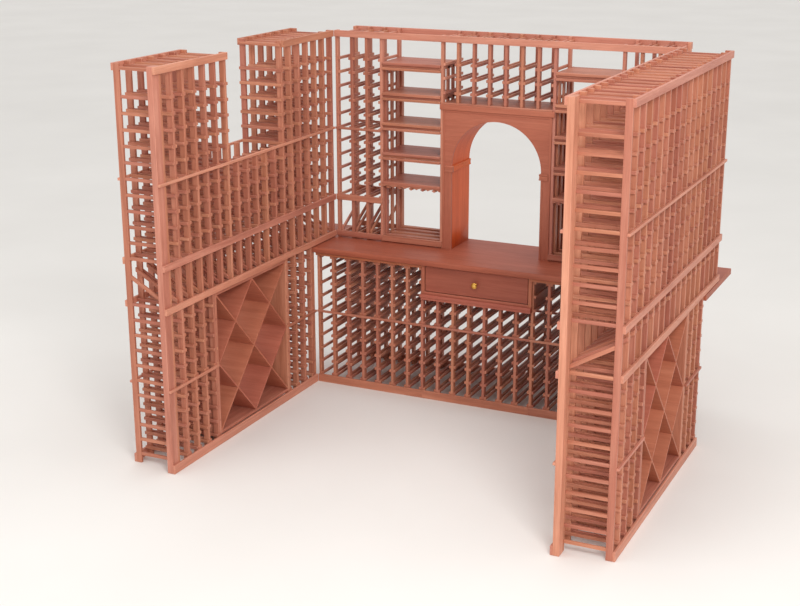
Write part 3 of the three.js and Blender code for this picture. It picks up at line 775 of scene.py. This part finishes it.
def shelf_stack(name, node, first, last):
    run = "upper"
    s0, s1 = first * PITCH[run] + POST_W + GAP, last * PITCH[run] - GAP
    piece = Joinery()
    for i, top in enumerate(SHELF_TOPS):
        piece.board(run, (s0, s1), (4, DEPTH - 20), (top - SHELF_T, top), "s", 0.0025)
        if i < len(SHELF_TOPS) - 1:
            piece.board(run, (s0 + 1, s1 - 1), (20, 32), (top - 35.5, top - SHELF_T), "s")
            piece.board(run, (s0, s1), (3, 20), (top - 53, top - 35), "s", 0.0025)
        for s in (s0 + 0.5, s1 - 12.5):
            piece.board(run, (s, s + 12), (33, DEPTH - 24), (top - 36, top - 19.2), "d")
    low = SHELF_TOPS[-1] - SHELF_T
    for i in range(STEM_RAILS):
        s = s0 + (s1 - s0) * (i + 0.5) / STEM_RAILS
        piece.prism(run, "sz", tee(s, low), (8, DEPTH - 30), None, 0.8)
    piece.prism(run, "sz", scallop(s0, s1, low), (4.5, 18), (1, 0), 0.8)
    bay_floor(piece, run, s0, s1, first > BAYS[2])
    piece.build(name, "racking", RACK, "wood_rack", node)


def tee(s, top):
    """The section of a stemware rail: a web with a flange on each side."""
    right = [(5, -26), (5, -22), (16, -18), (16, -14), (5, -12), (5, 0)]
    left = [(-5, 0), (-5, -12), (-16, -14), (-16, -18), (-5, -22)]
    return [(s + x, top + z) for x, z in [(-5, -26)] + right + left]


def bay_floor(piece, run, s0, s1, right_hand):
    """Base board, bearers, floor slats and the side battens that rise from them."""
    floor = COUNTER_TOP + GAP
    over = POST_W + GAP
    front = (s0 - over, s1) if right_hand else (s0, s1 + over)
    piece.board(run, front, (0, BOARD_T - 1 - GAP), (SHOW_LOW_BOARD[0], BAY_FLOOR[1]), "s", 0.002)
    rise = (BAY_FLOOR[1] - 1, SHELF_TOPS[0] - 1)
    for a in (s0 + 0.5, s1 - 12):
        across = (a, a + BATTEN_T)
        piece.board(run, across, (BOARD_T - 2, DEPTH - 2), (floor, BAY_FLOOR[0] - 0.2), "d")
        for d in BATTENS:
            piece.board(run, across, (d, d + POST_D), rise, "z")
    for d in BATTENS:
        piece.board(run, (s0 + 0.3, s1 - 0.3), (d - 0.3, d + POST_D + 0.3), BAY_FLOOR, "s")


def scallop(s0, s1, top):
    """A front strip whose lower edge dips between the stemware rails."""
    points = [(s1, top), (s0, top)]
    wide = (s1 - s0) / STEM_RAILS
    for i in range(STEM_RAILS):
        a = s0 + wide * i
        for j in range(9):
            t = j / 9
            points.append((a + wide * t, top - 20 + 14 * math.sin(math.pi * t) ** 0.8))
    points.append((s1, top - 20))
    return points


def arch():
    run, mid = "upper", AISLE / 2
    s0 = BAYS[2] * PITCH[run] + POST_W + GAP
    s1 = AISLE - s0
    foot = COUNTER_TOP + GAP
    front = BOARD_T - 2 - GAP
    d = (front, front + PANEL_T)
    panel = Joinery()
    for sign in (-1, 1):
        outer, inner = mid + sign * (s1 - s0) / 2, mid + sign * ARCH_R
        panel.board(run, sorted((outer, inner)), d, (foot, ARCH_SPRING), "z", 0.001, 0.5)
        bead = sorted((outer, outer - sign * BEAD))
        panel.board(run, bead, (front - 4, front + 1), (foot, CORNICE[0]), "z", 0.0022, 0.56)
        edge = sorted((inner, inner + sign * 13))
        panel.board(run, edge, (front - 2.5, front + 1), (foot, IMPOST[0]), "z", 0.0012, 0.56)
        block = sorted((outer - sign * 15, inner - sign * IMPOST_OUT))
        impost(panel, run, block, (front - 9, front + PANEL_T))
    arc = [on_arch(mid, a) for a in np.linspace(0, math.pi, 65)]
    head = [(s1, ARCH_SPRING), (s1, PANEL_TOP), (s0, PANEL_TOP), (s0, ARCH_SPRING)] + arc[::-1]
    panel.prism(run, "sz", head, d, (1, 0), 1.0, 0.5)
    under = (CORNICE[0] - BEAD, CORNICE[0])
    panel.board(run, (s0 + BEAD, s1 - BEAD), (front - 4, front + 1), under, "s", 0.0022, 0.56)
    over = POST_W + GAP
    panel.board(run, (s0 - over, s1 + over), (0, front + 1), CORNICE, "s", 0.002, 0.6)
    panel.build("arch_face", "racking", PANEL, "wood_panel", "arch_panel")
    liner(run, mid, foot, d[1] + GAP)


def on_arch(mid, a):
    return (mid + ARCH_R * math.cos(a), ARCH_SPRING + ARCH_R * math.sin(a))


def impost(piece, run, s, d):
    """A moulded band: a flat between two fillets."""
    low, high = IMPOST
    piece.board(run, s, d, (low, low + 9), "s", 0.0015, 0.6)
    piece.board(run, (s[0] + 2, s[1] - 2), (d[0] + 2, d[1]), (low + 8, high - 10), "s", 0.0015, 0.6)
    piece.board(run, s, d, (high - 11, high), "s", 0.003, 0.6)


def liner(run, mid, foot, d0):
    """The jamb: one bent board up one side, round the arch and down the other."""
    d1 = DEPTH - 16
    rise = ARCH_SPRING - foot
    legs = np.linspace(0, 1, 5)
    total = rise + ARCH_R * math.pi
    steps = [(mid + ARCH_R, foot + rise * t, rise * t) for t in legs[:-1]]
    steps += [(*on_arch(mid, a), rise + ARCH_R * a) for a in np.linspace(0, math.pi, 73)]
    steps += [(mid - ARCH_R, ARCH_SPRING - rise * t, total + rise * t) for t in legs[1:]]
    piece = Joinery()
    grids, grains = [], []
    inner, outer = (0, d0 + 1), (LINER_T, d0 + 1)
    section = (inner, (1, d0), (LINER_T - 1, d0), outer, (LINER_T, d1), (0, d1))
    for s, z, along in steps:
        out = np.array([s - mid, max(z - ARCH_SPRING, 0)], float)
        out /= np.linalg.norm(out)
        ring, grain = [], []
        for grow, d in section:
            ring.append(world(run, s + out[0] * grow, d, z + out[1] * grow))
            grain.append((along / 1000, d / 1000, grow / 1000))
        grids.append(ring)
        grains.append(grain)
    piece.surface(np.array(grids), np.array(grains), closed=True)
    # The jamb takes the orange liner wood, which carries painted warm lamp light.
    made = piece.build("arch_jamb", "racking", LINER_PAINTED_LIGHT, "wood_panel", "arch_liner")
    close_ends(made)
    bands = Joinery()
    for edge in (mid - ARCH_R, mid + ARCH_R - IMPOST_OUT):
        impost(bands, run, (edge, edge + IMPOST_OUT), (d0, d1))
    # The jamb's bands take the same orange wood with painted warm lamp light.
    bands.build("jamb_bands", "racking", LINER_PAINTED_LIGHT, "wood_panel", "arch_liner")


def close_ends(piece):
    bm = bmesh.new()
    bm.from_mesh(piece.data)
    bmesh.ops.holes_fill(bm, edges=[e for e in bm.edges if e.is_boundary], sides=8)
    bmesh.ops.recalc_face_normals(bm, faces=bm.faces)
    bm.to_mesh(piece.data)
    bm.free()


side_run("left")
side_run("right")
base()
counter()
drawer_case()
drawer()
upper()
shelf_stack("shelves_left", "shelf_stack_left", BAYS[1], BAYS[2])
shelf_stack("shelves_right", "shelf_stack_right", BAYS[3], BAYS[4])
arch()


# ---- stage, light and camera ----
def floor():
    mesh = bpy.data.meshes.new("floor")
    r = 60
    mesh.from_pydata([(-r, -r, 0), (r, -r, 0), (r, r, 0), (-r, r, 0)], [], [(0, 1, 2, 3)])
    sh = Shader("pale_floor")
    where = sh.node("TexCoord").outputs["Object"]
    cloud = sh.noise(where, (0.6, 0.6, 0.6), 3, 0.5)
    stops = [(0.3, (0.83, 0.80, 0.76, 1)), (0.7, (0.87, 0.84, 0.80, 1))]
    sh.feed(sh.surface, "Base Color", sh.ramp(cloud, stops))
    sh.surface.inputs["Roughness"].default_value = 0.7
    mesh.materials.append(sh.material)
    made = bpy.data.objects.new("floor", mesh)
    bpy.context.scene.collection.objects.link(made)
    made.location.z = cad_box[0].z - 0.0005


def area(name, place, target, size, power, colour=(1, 1, 1)):
    data = bpy.data.lights.new(name, "AREA")
    data.shape = "DISK"
    data.size = size
    data.energy = power
    data.color = colour
    lamp = bpy.data.objects.new(name, data)
    bpy.context.scene.collection.objects.link(lamp)
    lamp.location = place
    lamp.rotation_euler = (Vector(target) - Vector(place)).to_track_quat("-Z", "Y").to_euler()


def camera():
    """Lens, place and direction are fitted to the photo's straight lines."""
    data = bpy.data.cameras.new("camera")
    data.lens = 63.47
    data.sensor_width = 36
    data.shift_x = -0.0109
    data.clip_end = 300
    cam = bpy.data.objects.new("camera", data)
    bpy.context.scene.collection.objects.link(cam)
    azimuth, pitch = math.radians(25), math.radians(17)
    level = math.cos(pitch)
    forward = Vector((-math.sin(azimuth) * level, math.cos(azimuth) * level, -math.sin(pitch)))
    cam.location = (3.380, -7.699, 3.469)
    cam.rotation_euler = forward.to_track_quat("-Z", "Y").to_euler()
    bpy.context.scene.camera = cam


floor()
camera()
area("key", (4.6, -6.0, 5.6), (0.6, -0.6, 1.0), 3.0, 330)
area("fill", (-5.0, -6.0, 4.5), (0, 0, 1.0), 5.0, 50)
area("top", (0, -0.5, 6.5), (0, 0, 0), 5.0, 60)
sky = bpy.data.worlds.new("sky")
sky.use_nodes = True
sky.node_tree.nodes["Background"].inputs["Color"].default_value = (1, 1, 1, 1)
sky.node_tree.nodes["Background"].inputs["Strength"].default_value = 0.85
bpy.context.scene.world = sky
bpy.context.scene.view_settings.view_transform = "Standard"
